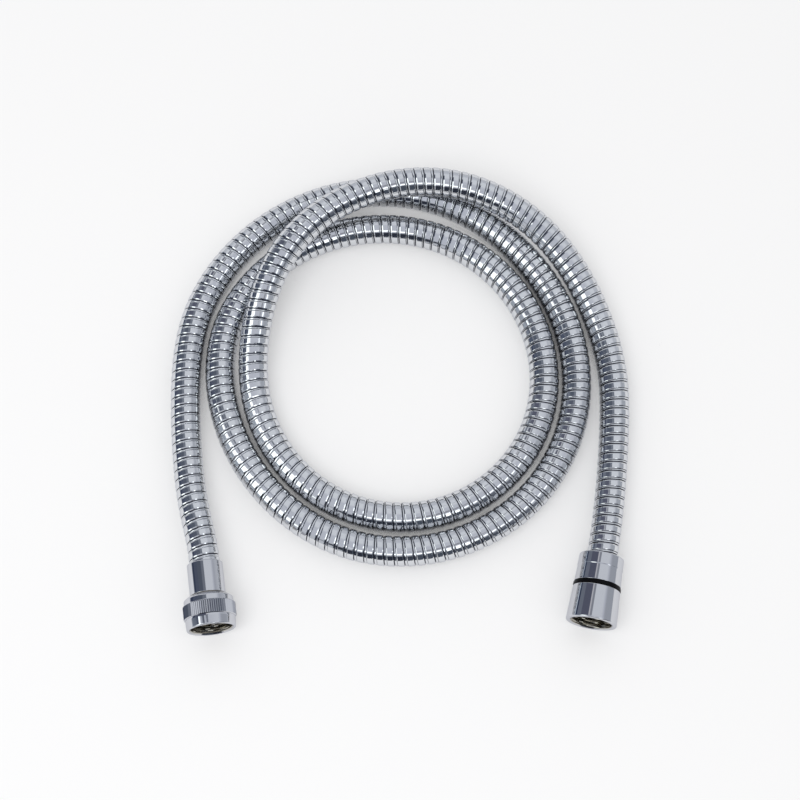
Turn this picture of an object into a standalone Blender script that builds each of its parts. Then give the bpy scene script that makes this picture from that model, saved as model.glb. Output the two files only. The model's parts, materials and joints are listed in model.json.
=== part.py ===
"""A metal shower hose, lying coiled in two and a half turns.

An interlocked metal hose runs over a soft water tube. Its mixer end has a crimped ferrule and a
knurled swivel nut, and its handset end has a conical fitting that swivels at a black ring.
Units are metres and +Z is up. The floor is at Z = 0.
"""

import math

import bmesh
import bpy
import numpy as np
from mathutils import Vector

COLLECTION = "metal_shower_hose"

# Clearance between neighbouring pieces, seated or running
GAP = 0.0003

# Metal hose and the water tube in it
HOSE_DIAMETER = 0.0140
HOSE_WALL = 0.0013
TUBE_WALL = 0.0013
HOSE_BEVEL_RESOLUTION = 3
HOSE_RINGS = 78
HOSE_LEAD = 0.0130

# Route of the hose: places that it passes, and the coil's turns as angle, radius and height of its axis
COIL_MIDDLE = (-0.0017, 0.1076)
MIXER_TAIL = [
    (-0.0964, 0.0392, 0.0087),
    (-0.1007, 0.0656, 0.0074),
    (-0.1027, 0.0956, 0.0071),
]
COIL = [
    (165, 0.1007, 0.0070),
    (135, 0.0977, 0.0070),
    (105, 0.0937, 0.0070),
    (75, 0.0886, 0.0070),
    (45, 0.0834, 0.0070),
    (15, 0.0825, 0.0070),
    (-15, 0.0846, 0.0070),
    (-45, 0.0867, 0.0070),
    (-75, 0.0875, 0.0070),
    (-105, 0.0873, 0.0070),
    (-135, 0.0853, 0.0070),
    (-165, 0.0848, 0.0070),
    (-195, 0.0850, 0.0070),
    (-225, 0.0799, 0.0070),
    (-255, 0.0741, 0.0070),
    (-285, 0.0701, 0.0070),
    (-315, 0.0678, 0.0070),
    (-345, 0.0675, 0.0070),
    (-375, 0.0691, 0.0070),
    (-405, 0.0708, 0.0070),
    (-435, 0.0717, 0.0070),
    (-465, 0.0714, 0.0071),
    (-495, 0.0700, 0.0073),
    (-525, 0.0692, 0.0076),
    (-555, 0.0705, 0.0132),
    (-585, 0.0771, 0.0222),
    (-615, 0.0856, 0.0225),
    (-645, 0.0928, 0.0215),
    (-675, 0.0966, 0.0143),
    (-705, 0.0977, 0.0077),
]
HANDSET_TAIL = [
    (0.0987, 0.1056, 0.0071),
    (0.0985, 0.0776, 0.0072),
    (0.0955, 0.0476, 0.0080),
]

# Where the cut ends of the hose lie, and how the fittings on them point
MIXER_END = (-0.0891, 0.0033)
MIXER_YAW = math.radians(8.2)
MIXER_PITCH = math.radians(3.5)
HANDSET_END = (0.0884, 0.0072)
HANDSET_YAW = math.radians(-11.4)
HANDSET_PITCH = math.radians(3.0)

# G 1/2 female thread of both fittings, drawn at its inside diameter
THREAD_DIAMETER = 0.0186
THREAD_CHAMFER = 0.0010
WASHER_THICKNESS = 0.0020
WASHER_HOLE = 0.0110

# Brass inserts
WATERWAY = 0.0052
BARB_RIDGE = 0.0004
BARB_RIDGES = 3
NECK_BORE = 0.0100
FLANGE_THICKNESS = 0.0020

# Ferrule and knurled nut on the mixer's end
FERRULE_GRIP = 0.0110
FERRULE_TAIL = 0.0040
FERRULE_WALL = 0.0008
FERRULE_ROUND = 0.0004
NUT_LENGTH = 0.0165
NUT_LIP = 0.0022
NUT_LIP_WALL = 0.0013
NUT_CONE = 0.0026
NUT_SHOULDER_WALL = 0.0019
NUT_RIM_WALL = 0.0019
NUT_BAND_WALL = 0.0022
NUT_ROUND = 0.0008
KNURL_START = 0.0042
KNURL_LENGTH = 0.0064
KNURL_TEETH = 84
KNURL_RADIUS = 0.01205
KNURL_DEPTH = 0.0003
KNURL_ROOT_WALL = 0.0011

# Conical fitting on the handset's end
CONE_BACK_RADIUS = 0.00965
CONE_MOUTH_RADIUS = 0.0115
CONE_LENGTH = 0.0316
CONE_ROUND = 0.0006
COLLAR_GRIP = 0.0100
COLLAR_TAIL = 0.0028
COLLAR_BAND = 0.0042
COLLAR_GROOVE = 0.0002
RING_THICKNESS = 0.0016
RING_PROUD = 0.00015
SLEEVE_WEB = 0.0046
JOURNAL_DIAMETER = 0.0104
SEAL_GROOVE_DEPTH = 0.00145
SEAL_GROOVE_WIDTH = 0.0018
CLIP_THICKNESS = 0.0008
CLIP_WIDTH = 0.0020
CLIP_GROOVE_DEPTH = 0.0010
CLIP_MOUTH = 0.0045
STEM_LAND = 0.0006
RECESS_WALL = 0.0020

TURN_STEPS = 32

# Worked out from the sizes above
HOSE_RADIUS = HOSE_DIAMETER / 2
HOSE_FLAT = math.cos(math.pi / (4 + 2 * HOSE_BEVEL_RESOLUTION))
TUBE_RADIUS = HOSE_RADIUS - (HOSE_WALL + GAP) / HOSE_FLAT
TUBE_BORE_RADIUS = TUBE_RADIUS * HOSE_FLAT - TUBE_WALL
BARB_RADIUS = TUBE_BORE_RADIUS - GAP
THREAD_RADIUS = THREAD_DIAMETER / 2
NECK_RADIUS = HOSE_RADIUS
JOURNAL_RADIUS = JOURNAL_DIAMETER / 2


def bore_around(radius):
    """Radius of a turned bore whose flats clear what is inside it by GAP."""
    return (radius + GAP) / math.cos(math.pi / TURN_STEPS)


def plug_inside(radius):
    """Radius of a turned piece that clears the flats of a bore by GAP."""
    return radius * math.cos(math.pi / TURN_STEPS) - GAP


SLIP_BORE = bore_around(HOSE_RADIUS)
FLANGE_RADIUS = plug_inside(THREAD_RADIUS)
NUT_BACK = FERRULE_TAIL + GAP
NUT_MOUTH = NUT_BACK + NUT_LENGTH
CONE_BACK = -COLLAR_GRIP
CONE_MOUTH = CONE_BACK + CONE_LENGTH
RING_BACK = COLLAR_TAIL + GAP
SLEEVE_BACK = RING_BACK + RING_THICKNESS + GAP
WEB_FRONT = SLEEVE_BACK + SLEEVE_WEB
CLIP_BACK = WEB_FRONT + GAP
CLIP_GROOVE_FRONT = CLIP_BACK + CLIP_THICKNESS + GAP
STEM_FRONT = CLIP_GROOVE_FRONT + STEM_LAND


def cone_radius(station):
    """Outside radius of the conical fitting at a station along its axis."""
    return CONE_BACK_RADIUS + (CONE_MOUTH_RADIUS - CONE_BACK_RADIUS) * (station - CONE_BACK) / CONE_LENGTH


def clear_scene():
    """Empty the scene that the script starts in."""
    for obj in list(bpy.data.objects):
        bpy.data.objects.remove(obj, do_unlink=True)


def new_collection(name):
    """A collection linked to the scene."""
    collection = bpy.data.collections.new(name)
    bpy.context.scene.collection.children.link(collection)
    return collection


def new_material(name, colour, metallic, roughness):
    """A Principled material."""
    material = bpy.data.materials.new(name)
    material.use_nodes = True
    shader = material.node_tree.nodes["Principled BSDF"]
    shader.inputs["Base Color"].default_value = (*colour, 1.0)
    shader.inputs["Metallic"].default_value = metallic
    shader.inputs["Roughness"].default_value = roughness
    return material


def place(obj, collection, parent=None, material=None):
    """Link an object, hang it on its parent and give it its material."""
    collection.objects.link(obj)
    obj.parent = parent
    if material:
        obj.data.materials.append(material)
    return obj


def turned(name, profile, collection, parent, material):
    """A turned piece: a closed profile of (radius, station) pairs, outer side first, top to bottom."""
    points = [(radius, 0.0, station) for radius, station in profile]
    edges = [(i, (i + 1) % len(points)) for i in range(len(points))]
    mesh = bpy.data.meshes.new(name)
    mesh.from_pydata(points, edges, [])
    obj = place(bpy.data.objects.new(name, mesh), collection, parent, material)
    screw = obj.modifiers.new("turn", "SCREW")
    screw.axis = "Z"
    screw.angle = math.tau
    screw.steps = TURN_STEPS
    screw.render_steps = TURN_STEPS
    screw.use_merge_vertices = True
    screw.merge_threshold = 0.00001
    screw.use_smooth_shade = True
    return obj


def evaluated_mesh(obj):
    """A mesh of an object as it looks with its modifiers, curves included."""
    bpy.context.view_layer.update()
    return bpy.data.meshes.new_from_object(obj.evaluated_get(bpy.context.evaluated_depsgraph_get()))


def welded(mesh):
    """The mesh with vertices that lie on one another joined."""
    work = bmesh.new()
    work.from_mesh(mesh)
    bmesh.ops.remove_doubles(work, verts=work.verts, dist=0.000001)
    work.to_mesh(mesh)
    work.free()
    return mesh


def boolean(obj, tool, operation):
    """Cut or join an object with a tool that is itself left out of the model."""
    modifier = obj.modifiers.new(operation.lower(), "BOOLEAN")
    modifier.operation = operation
    modifier.solver = "EXACT"
    modifier.object = tool
    tool.hide_render = True
    tool.display_type = "WIRE"


def fitting_axis(name, end, yaw, pitch, outline, collection):
    """An empty at a cut end of the hose, its +Z along the fitting, as high as the fitting rests."""
    height = max(radius * math.cos(pitch) - station * math.sin(pitch) for radius, station in outline)
    empty = bpy.data.objects.new(name, None)
    empty.empty_display_size = HOSE_DIAMETER
    empty.location = (*end, height)
    empty.rotation_euler = (math.pi / 2 - pitch, 0.0, yaw)
    return place(empty, collection)


def barb_outline():
    """The ridged outside of a barb, from the hose's cut end back to its tip."""
    pitch = (FERRULE_GRIP - GAP) / BARB_RIDGES
    points = [(BARB_RADIUS - BARB_RIDGE, GAP)]
    for ridge in range(BARB_RIDGES):
        points.append((BARB_RADIUS - BARB_RIDGE, -ridge * pitch))
        points.append((BARB_RADIUS, -(ridge + 0.2) * pitch))
    points.append((BARB_RADIUS - BARB_RIDGE, -BARB_RIDGES * pitch))
    return points


def ferrule_profile():
    """The crimped ferrule over the mixer's end of the hose."""
    radius = SLIP_BORE + FERRULE_WALL
    return [
        (radius, FERRULE_TAIL),
        (radius, -FERRULE_GRIP + FERRULE_ROUND),
        (radius - FERRULE_ROUND, -FERRULE_GRIP),
        (SLIP_BORE, -FERRULE_GRIP),
        (SLIP_BORE, FERRULE_TAIL),
    ]


def mixer_insert_profile():
    """The brass insert: barb, neck, and the flange that the nut pulls on."""
    flange_back = NUT_BACK + NUT_LIP + GAP
    flange_front = flange_back + FLANGE_THICKNESS
    return [
        (FLANGE_RADIUS, flange_front),
        (FLANGE_RADIUS, flange_back),
        (NECK_RADIUS, flange_back),
        (NECK_RADIUS, GAP),
        *barb_outline(),
        (WATERWAY / 2, -FERRULE_GRIP + GAP),
        (WATERWAY / 2, FERRULE_TAIL / 2),
        (NECK_BORE / 2, FERRULE_TAIL),
        (NECK_BORE / 2, flange_front),
    ]


def nut_profile():
    """The turned body of the knurled nut, without its knurl."""
    rim = THREAD_RADIUS + NUT_RIM_WALL
    band = THREAD_RADIUS + NUT_BAND_WALL
    shoulder = THREAD_RADIUS + NUT_SHOULDER_WALL
    lip_bore = bore_around(NECK_RADIUS)
    knurl_end = NUT_BACK + KNURL_START + KNURL_LENGTH
    return [
        (THREAD_RADIUS + THREAD_CHAMFER, NUT_MOUTH),
        (rim - NUT_ROUND / 2, NUT_MOUTH),
        (rim, NUT_MOUTH - NUT_ROUND),
        (band, knurl_end + NUT_ROUND),
        (band, knurl_end - GAP),
        (shoulder, NUT_BACK + KNURL_START),
        (shoulder, NUT_BACK + NUT_CONE),
        (lip_bore + NUT_LIP_WALL, NUT_BACK),
        (lip_bore, NUT_BACK),
        (lip_bore, NUT_BACK + NUT_LIP),
        (THREAD_RADIUS, NUT_BACK + NUT_LIP),
        (THREAD_RADIUS, NUT_MOUTH - THREAD_CHAMFER),
    ]


def washer_profile(back):
    """A flat sealing washer that lies in a thread's bottom."""
    return [
        (FLANGE_RADIUS, back + WASHER_THICKNESS),
        (FLANGE_RADIUS, back),
        (WASHER_HOLE / 2, back),
        (WASHER_HOLE / 2, back + WASHER_THICKNESS),
    ]


def collar_profile():
    """The conical collar over the handset's end of the hose."""
    band_end = CONE_BACK + COLLAR_BAND
    return [
        (cone_radius(COLLAR_TAIL), COLLAR_TAIL),
        (cone_radius(band_end + COLLAR_GROOVE), band_end + COLLAR_GROOVE),
        (cone_radius(band_end) - COLLAR_GROOVE, band_end),
        (cone_radius(band_end - COLLAR_GROOVE), band_end - COLLAR_GROOVE),
        (cone_radius(CONE_BACK + CONE_ROUND), CONE_BACK + CONE_ROUND),
        (CONE_BACK_RADIUS - CONE_ROUND, CONE_BACK),
        (SLIP_BORE, CONE_BACK),
        (SLIP_BORE, COLLAR_TAIL),
    ]


def handset_insert_profile():
    """The brass stem: barb, shoulder, and the journal that the sleeve turns on."""
    seal_middle = (SLEEVE_BACK + WEB_FRONT) / 2
    seal_groove = JOURNAL_RADIUS - SEAL_GROOVE_DEPTH
    clip_groove = JOURNAL_RADIUS - CLIP_GROOVE_DEPTH
    return [
        (JOURNAL_RADIUS, STEM_FRONT),
        (JOURNAL_RADIUS, CLIP_GROOVE_FRONT),
        (clip_groove, CLIP_GROOVE_FRONT),
        (clip_groove, WEB_FRONT),
        (JOURNAL_RADIUS, WEB_FRONT),
        (JOURNAL_RADIUS, seal_middle + SEAL_GROOVE_WIDTH / 2),
        (seal_groove, seal_middle + SEAL_GROOVE_WIDTH / 2),
        (seal_groove, seal_middle - SEAL_GROOVE_WIDTH / 2),
        (JOURNAL_RADIUS, seal_middle - SEAL_GROOVE_WIDTH / 2),
        (JOURNAL_RADIUS, COLLAR_TAIL),
        (NECK_RADIUS, COLLAR_TAIL),
        (NECK_RADIUS, GAP),
        *barb_outline(),
        (WATERWAY / 2, -FERRULE_GRIP + GAP),
        (WATERWAY / 2, STEM_FRONT),
    ]


def ring_profile():
    """The black bearing ring between collar and sleeve, a little proud of both."""
    front = RING_BACK + RING_THICKNESS
    return [
        (cone_radius(front) + RING_PROUD, front),
        (cone_radius(RING_BACK) + RING_PROUD, RING_BACK),
        (bore_around(JOURNAL_RADIUS), RING_BACK),
        (bore_around(JOURNAL_RADIUS), front),
    ]


def sleeve_profile():
    """The conical sleeve with the handset's thread in its mouth."""
    journal_bore = bore_around(JOURNAL_RADIUS)
    recess = THREAD_RADIUS - RECESS_WALL
    return [
        (THREAD_RADIUS + THREAD_CHAMFER / 2, CONE_MOUTH),
        (cone_radius(CONE_MOUTH) - CONE_ROUND, CONE_MOUTH),
        (cone_radius(CONE_MOUTH - CONE_ROUND), CONE_MOUTH - CONE_ROUND),
        (cone_radius(SLEEVE_BACK), SLEEVE_BACK),
        (journal_bore, SLEEVE_BACK),
        (journal_bore, WEB_FRONT),
        (recess, WEB_FRONT),
        (recess, STEM_FRONT),
        (THREAD_RADIUS, STEM_FRONT),
        (THREAD_RADIUS, CONE_MOUTH - THREAD_CHAMFER / 2),
    ]


def clip_profile():
    """The retaining clip in the stem's last groove, before its mouth is cut."""
    inside = JOURNAL_RADIUS - CLIP_GROOVE_DEPTH + GAP
    return [
        (inside + CLIP_WIDTH, CLIP_BACK + CLIP_THICKNESS),
        (inside + CLIP_WIDTH, CLIP_BACK),
        (inside, CLIP_BACK),
        (inside, CLIP_BACK + CLIP_THICKNESS),
    ]


def knurl_band(collection, parent):
    """A toothed band, drawn flat and extruded, that is joined to the nut's body."""
    curve = bpy.data.curves.new("knurl_band", "CURVE")
    curve.dimensions = "2D"
    curve.fill_mode = "BOTH"
    curve.extrude = KNURL_LENGTH / 2
    inside = THREAD_RADIUS + KNURL_ROOT_WALL
    outlines = [
        [KNURL_RADIUS if i % 2 == 0 else KNURL_RADIUS - KNURL_DEPTH for i in range(2 * KNURL_TEETH)],
        [inside] * TURN_STEPS,
    ]
    for radii in outlines:
        spline = curve.splines.new("POLY")
        spline.points.add(len(radii) - 1)
        for i, radius in enumerate(radii):
            angle = math.tau * i / len(radii)
            spline.points[i].co = (radius * math.cos(angle), radius * math.sin(angle), 0.0, 1.0)
        spline.use_cyclic_u = True
    drawn = place(bpy.data.objects.new("knurl_band", curve), collection)
    mesh = welded(evaluated_mesh(drawn))
    bpy.data.objects.remove(drawn)
    band = place(bpy.data.objects.new("knurl_band", mesh), collection, parent)
    band.location.z = NUT_BACK + KNURL_START + KNURL_LENGTH / 2
    return band


def clip_mouth_cutter(collection, parent):
    """The block that opens the retaining clip on one side."""
    inside = JOURNAL_RADIUS - CLIP_GROOVE_DEPTH
    work = bmesh.new()
    bmesh.ops.create_cube(work, size=1.0)
    bmesh.ops.scale(work, vec=(CLIP_WIDTH * 3, CLIP_MOUTH, CLIP_THICKNESS * 2), verts=work.verts)
    mesh = bpy.data.meshes.new("clip_mouth_cutter")
    work.to_mesh(mesh)
    work.free()
    cutter = place(bpy.data.objects.new("clip_mouth_cutter", mesh), collection, parent)
    cutter.location = (inside + CLIP_WIDTH * 1.5, 0.0, CLIP_BACK + CLIP_THICKNESS / 2)
    return cutter


def seal_ring(collection, parent, material):
    """The O-ring in the stem's groove."""
    groove = JOURNAL_RADIUS - SEAL_GROOVE_DEPTH
    bore = bore_around(JOURNAL_RADIUS) * math.cos(math.pi / TURN_STEPS)
    section = (bore - groove) / 2 - GAP
    bpy.ops.mesh.primitive_torus_add(
        major_segments=TURN_STEPS,
        minor_segments=8,
        major_radius=(bore + groove) / 2,
        minor_radius=section,
        location=(0.0, 0.0, (SLEEVE_BACK + WEB_FRONT) / 2),
    )
    ring = bpy.context.object
    ring.name = "handset_o_ring"
    ring.data.name = "handset_o_ring"
    for owner in list(ring.users_collection):
        owner.objects.unlink(ring)
    place(ring, collection, parent, material)
    ring.data.shade_smooth()
    return ring


def smooth_line(points, start, end, samples=40):
    """A smooth curve through the points that leaves along start and arrives along end.

    Each stretch is a cubic, and the curve's bend is continuous at every point.
    """
    points = np.array(points)
    spans = np.linalg.norm(np.diff(points, axis=0), axis=1)
    slopes = np.diff(points, axis=0) / spans[:, None]
    count = len(points)
    system = np.eye(count)
    sides = np.zeros((count, 3))
    sides[0] = start
    sides[-1] = end
    for i in range(1, count - 1):
        before = spans[i - 1]
        after = spans[i]
        system[i, i - 1:i + 2] = (after, 2 * (before + after), before)
        sides[i] = 3 * (after * slopes[i - 1] + before * slopes[i])
    tangents = np.linalg.solve(system, sides)
    steps = np.linspace(0.0, 1.0, samples, endpoint=False)[:, None]
    line = []
    for i, span in enumerate(spans):
        rise = 3 * steps**2 - 2 * steps**3
        leave = (steps - 2 * steps**2 + steps**3) * span
        arrive = (steps**3 - steps**2) * span
        line.extend(points[i] + rise * (points[i + 1] - points[i]) + leave * tangents[i] + arrive * tangents[i + 1])
    line.append(points[-1])
    return np.array(line)


def evenly_spaced(line, count):
    """Points at equal distances along a line."""
    lengths = np.concatenate([[0.0], np.cumsum(np.linalg.norm(np.diff(line, axis=0), axis=1))])
    stations = np.linspace(0.0, lengths[-1], count)
    return np.stack([np.interp(stations, lengths, line[:, axis]) for axis in range(3)], axis=1)


def coil_places():
    """The coil's turns in the part's own frame."""
    places = []
    for degrees, radius, height in COIL:
        angle = math.radians(degrees)
        x = COIL_MIDDLE[0] + radius * math.cos(angle)
        y = COIL_MIDDLE[1] + radius * math.sin(angle)
        places.append((x, y, height))
    return places


def hose_line(mixer_axis, handset_axis):
    """The hose's axis, from its cut end in the ferrule to its cut end in the collar."""
    bpy.context.view_layer.update()
    first = mixer_axis.matrix_world.translation
    last = handset_axis.matrix_world.translation
    leaving = -(mixer_axis.matrix_world.to_3x3() @ Vector((0.0, 0.0, 1.0)))
    arriving = handset_axis.matrix_world.to_3x3() @ Vector((0.0, 0.0, 1.0))
    first_bend = first + leaving * HOSE_LEAD
    last_bend = last - arriving * HOSE_LEAD
    places = [first_bend, *MIXER_TAIL, *coil_places(), *HANDSET_TAIL, last_bend]
    middle = evenly_spaced(smooth_line(places, leaving, arriving), HOSE_RINGS - 2)
    return [first, *middle, last]


def hollow_tube(name, line, radius, wall, collection, material):
    """A tube that is open at both ends: a bevelled curve made a mesh, and walled inwards."""
    curve = bpy.data.curves.new(name, "CURVE")
    curve.dimensions = "3D"
    curve.twist_mode = "Z_UP"
    curve.bevel_depth = radius
    curve.bevel_resolution = HOSE_BEVEL_RESOLUTION
    curve.use_fill_caps = False
    spline = curve.splines.new("POLY")
    spline.points.add(len(line) - 1)
    for point, position in zip(spline.points, line):
        point.co = (*position, 1.0)
    drawn = place(bpy.data.objects.new(name, curve), collection)
    mesh = welded(evaluated_mesh(drawn))
    bpy.data.objects.remove(drawn)
    mesh.name = name
    mesh.shade_smooth()
    tube = place(bpy.data.objects.new(name, mesh), collection, None, material)
    walls = tube.modifiers.new("wall", "SOLIDIFY")
    walls.thickness = wall
    walls.offset = -1.0
    walls.use_even_offset = True
    return tube


def build_mixer_end(axis, parts, tools, chrome, brass, rubber):
    """Ferrule, brass insert, knurled nut and washer."""
    turned("mixer_ferrule", ferrule_profile(), parts, axis, chrome)
    turned("mixer_insert", mixer_insert_profile(), parts, axis, brass)
    nut = turned("mixer_nut", nut_profile(), parts, axis, chrome)
    boolean(nut, knurl_band(tools, axis), "UNION")
    washer_back = NUT_BACK + NUT_LIP + FLANGE_THICKNESS + 2 * GAP
    turned("mixer_washer", washer_profile(washer_back), parts, axis, rubber)


def build_handset_end(axis, parts, tools, chrome, brass, rubber, black, steel):
    """Collar, brass stem, bearing ring, sleeve, O-ring, retaining clip and washer."""
    turned("handset_collar", collar_profile(), parts, axis, chrome)
    turned("handset_insert", handset_insert_profile(), parts, axis, brass)
    turned("black_ring", ring_profile(), parts, axis, black)
    turned("handset_sleeve", sleeve_profile(), parts, axis, chrome)
    seal_ring(parts, axis, rubber)
    clip = turned("retaining_clip", clip_profile(), parts, axis, steel)
    boolean(clip, clip_mouth_cutter(tools, axis), "DIFFERENCE")
    turned("handset_washer", washer_profile(STEM_FRONT + GAP), parts, axis, rubber)


def main():
    """Build the hose with its two fittings."""
    clear_scene()
    parts = new_collection(COLLECTION)
    tools = new_collection("cutters")

    chrome = new_material("chrome_plated_brass", (0.62, 0.62, 0.67), 1.0, 0.08)
    hose_metal = new_material("chromed_strip", (0.60, 0.60, 0.66), 1.0, 0.14)
    brass = new_material("brass", (0.72, 0.53, 0.24), 1.0, 0.25)
    steel = new_material("spring_steel", (0.50, 0.50, 0.52), 1.0, 0.30)
    rubber = new_material("black_rubber", (0.02, 0.02, 0.02), 0.0, 0.70)
    black = new_material("black_plastic", (0.01, 0.01, 0.012), 0.0, 0.35)
    tube_plastic = new_material("water_tube_plastic", (0.70, 0.71, 0.72), 0.0, 0.45)

    knurl_edges = [(KNURL_RADIUS, NUT_BACK + KNURL_START), (KNURL_RADIUS, NUT_BACK + KNURL_START + KNURL_LENGTH)]
    mixer_outline = ferrule_profile() + nut_profile() + knurl_edges
    mixer_axis = fitting_axis("mixer_axis", MIXER_END, MIXER_YAW, MIXER_PITCH, mixer_outline, parts)
    handset_outline = collar_profile() + ring_profile() + sleeve_profile()
    handset_axis = fitting_axis(
        "handset_axis", HANDSET_END, HANDSET_YAW, HANDSET_PITCH, handset_outline, parts
    )

    line = hose_line(mixer_axis, handset_axis)
    hollow_tube("metal_hose", line, HOSE_RADIUS, HOSE_WALL, parts, hose_metal)
    hollow_tube("water_tube", line, TUBE_RADIUS, TUBE_WALL, parts, tube_plastic)
    build_mixer_end(mixer_axis, parts, tools, chrome, brass, rubber)
    build_handset_end(handset_axis, parts, tools, chrome, brass, rubber, black, steel)


main()
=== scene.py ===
"""Dress a coiled metal shower hose: its wound strip, chromed fittings, seals and a small studio.

The hose leaves the ferrule of the mixer's fitting, lies in two and a half turns on the floor and
ends in the handset's conical fitting. All sizes are in metres.
"""

from __future__ import annotations

import json
import logging
import math
from collections.abc import Callable, Iterable, Sequence
from dataclasses import dataclass, field
from enum import Enum
from itertools import pairwise

import bmesh
import bpy
import numpy as np
from mathutils import Matrix, Vector

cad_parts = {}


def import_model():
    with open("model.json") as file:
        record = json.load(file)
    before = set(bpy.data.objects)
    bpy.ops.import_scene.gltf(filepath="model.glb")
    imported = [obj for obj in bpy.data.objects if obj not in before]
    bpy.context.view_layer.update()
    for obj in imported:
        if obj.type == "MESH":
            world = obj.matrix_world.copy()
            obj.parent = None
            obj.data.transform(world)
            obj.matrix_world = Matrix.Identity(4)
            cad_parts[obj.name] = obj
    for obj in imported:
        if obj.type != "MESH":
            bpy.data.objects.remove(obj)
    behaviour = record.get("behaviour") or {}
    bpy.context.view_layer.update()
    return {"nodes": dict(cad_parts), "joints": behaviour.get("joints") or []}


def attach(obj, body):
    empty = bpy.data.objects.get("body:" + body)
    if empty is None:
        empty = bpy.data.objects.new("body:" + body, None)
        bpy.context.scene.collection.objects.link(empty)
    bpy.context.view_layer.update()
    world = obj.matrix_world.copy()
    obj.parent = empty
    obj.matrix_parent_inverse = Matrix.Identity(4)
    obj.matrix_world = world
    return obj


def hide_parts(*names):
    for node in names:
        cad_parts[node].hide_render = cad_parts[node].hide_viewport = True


log = logging.getLogger("shower_hose")

Colour = tuple[float, float, float]
Operand = "Value | float"

# Two lengths this near are the same
CLOSE = 1e-6
# How far past its thread a bore is still marked as a bore, and how far short of its mouth it ends
SLACK = 1e-5
LIP = 0.0002


# Shaders


class Value:
    """A shader socket that takes part in Python arithmetic."""

    def __init__(self, graph: Graph, socket: bpy.types.NodeSocket) -> None:
        """Keep the socket with the graph that its Math nodes are added to."""
        self.graph = graph
        self.socket = socket

    def __add__(self, other: Operand) -> Value:
        """Add a value or a number."""
        return self.graph.maths("ADD", self, other)

    __radd__ = __add__

    def __sub__(self, other: Operand) -> Value:
        """Take away a value or a number."""
        return self.graph.maths("SUBTRACT", self, other)

    def __rsub__(self, other: Operand) -> Value:
        """Take this value away from another."""
        return self.graph.maths("SUBTRACT", other, self)

    def __mul__(self, other: Operand) -> Value:
        """Multiply by a value or a number."""
        return self.graph.maths("MULTIPLY", self, other)

    __rmul__ = __mul__

    def __truediv__(self, other: Operand) -> Value:
        """Divide by a value or a number."""
        return self.graph.maths("DIVIDE", self, other)


class Graph:
    """A node tree that nodes are added to by type."""

    def __init__(self, tree: bpy.types.NodeTree) -> None:
        """Take an empty or filled node tree.

        Args:
            tree: The material's or the world's node tree.
        """
        self.tree = tree

    def node(self, kind: str, settings: dict | None = None, sockets: dict | None = None) -> bpy.types.Node:
        """Add a node, set it up and fill its sockets.

        Args:
            kind: The node's type name.
            settings: Properties, such as a Math node's operation, that are set first.
            sockets: Values or links by socket name or number.

        Returns:
            The new node.
        """
        node = self.tree.nodes.new(kind)
        for key, setting in (settings or {}).items():
            setattr(node, key, setting)
        for key, content in (sockets or {}).items():
            self.fill(node.inputs[key], content)
        return node

    def fill(self, socket: bpy.types.NodeSocket, content: object) -> None:
        """Link a value to a socket, or set the socket's own number or colour.

        Args:
            socket: The input that is filled.
            content: A value or an output to link, or a number or colour to set.
        """
        if isinstance(content, Value):
            self.tree.links.new(content.socket, socket)
        elif isinstance(content, bpy.types.NodeSocket):
            self.tree.links.new(content, socket)
        else:
            socket.default_value = content

    def value(self, node: bpy.types.Node, output: str | int = 0) -> Value:
        """Wrap one output of a node."""
        return Value(self, node.outputs[output])

    def maths(self, operation: str, first: Operand, second: Operand = 0.0) -> Value:
        """Add a Math node.

        Args:
            operation: The Math node's operation.
            first: Its first operand.
            second: Its second operand, where it has one.

        Returns:
            The result.
        """
        return self.value(self.node("ShaderNodeMath", {"operation": operation}, {0: first, 1: second}))

    def between(self, value: Value, low: float, high: float, edge: float) -> Value:
        """A mask that is 1 where a value lies between two limits, with soft edges.

        Args:
            value: The value to test.
            low: Its lower limit.
            high: Its upper limit.
            edge: How wide each edge is.

        Returns:
            The mask.
        """
        return self.step(value, low, edge) * (1.0 - self.step(value, high, edge))

    def step(self, value: Value, limit: float, edge: float) -> Value:
        """A mask that rises smoothly from 0 to 1 around a limit.

        Args:
            value: The value to test.
            limit: Where the mask is one half.
            edge: How wide its rise is.

        Returns:
            The mask.
        """
        settings = {"interpolation_type": "SMOOTHSTEP"}
        sockets = {"Value": value, "From Min": limit - edge / 2, "From Max": limit + edge / 2}
        return self.value(self.node("ShaderNodeMapRange", settings, sockets))

    def mix(self, factor: Operand, first: object, second: object) -> Value:
        """Mix two colours by a factor.

        Args:
            factor: How much of the second colour there is.
            first: The first colour, or its value.
            second: The second colour, or its value.

        Returns:
            The mixed colour.
        """
        node = self.node("ShaderNodeMix", {"data_type": "RGBA"})
        self.fill(node.inputs[0], factor)
        for number, content in ((6, first), (7, second)):
            solid = (*content, 1.0) if isinstance(content, tuple) and len(content) == 3 else content
            self.fill(node.inputs[number], solid)
        return self.value(node, 2)


class Slot(Enum):
    """The record's material slots."""

    HOSE_STRIP = "hose_strip"
    CHROME = "chrome"
    BRASS = "brass"
    SPRING_STEEL = "spring_steel"
    RUBBER = "rubber"
    BLACK_PLASTIC = "black_plastic"
    WATER_TUBE = "water_tube"


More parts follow.
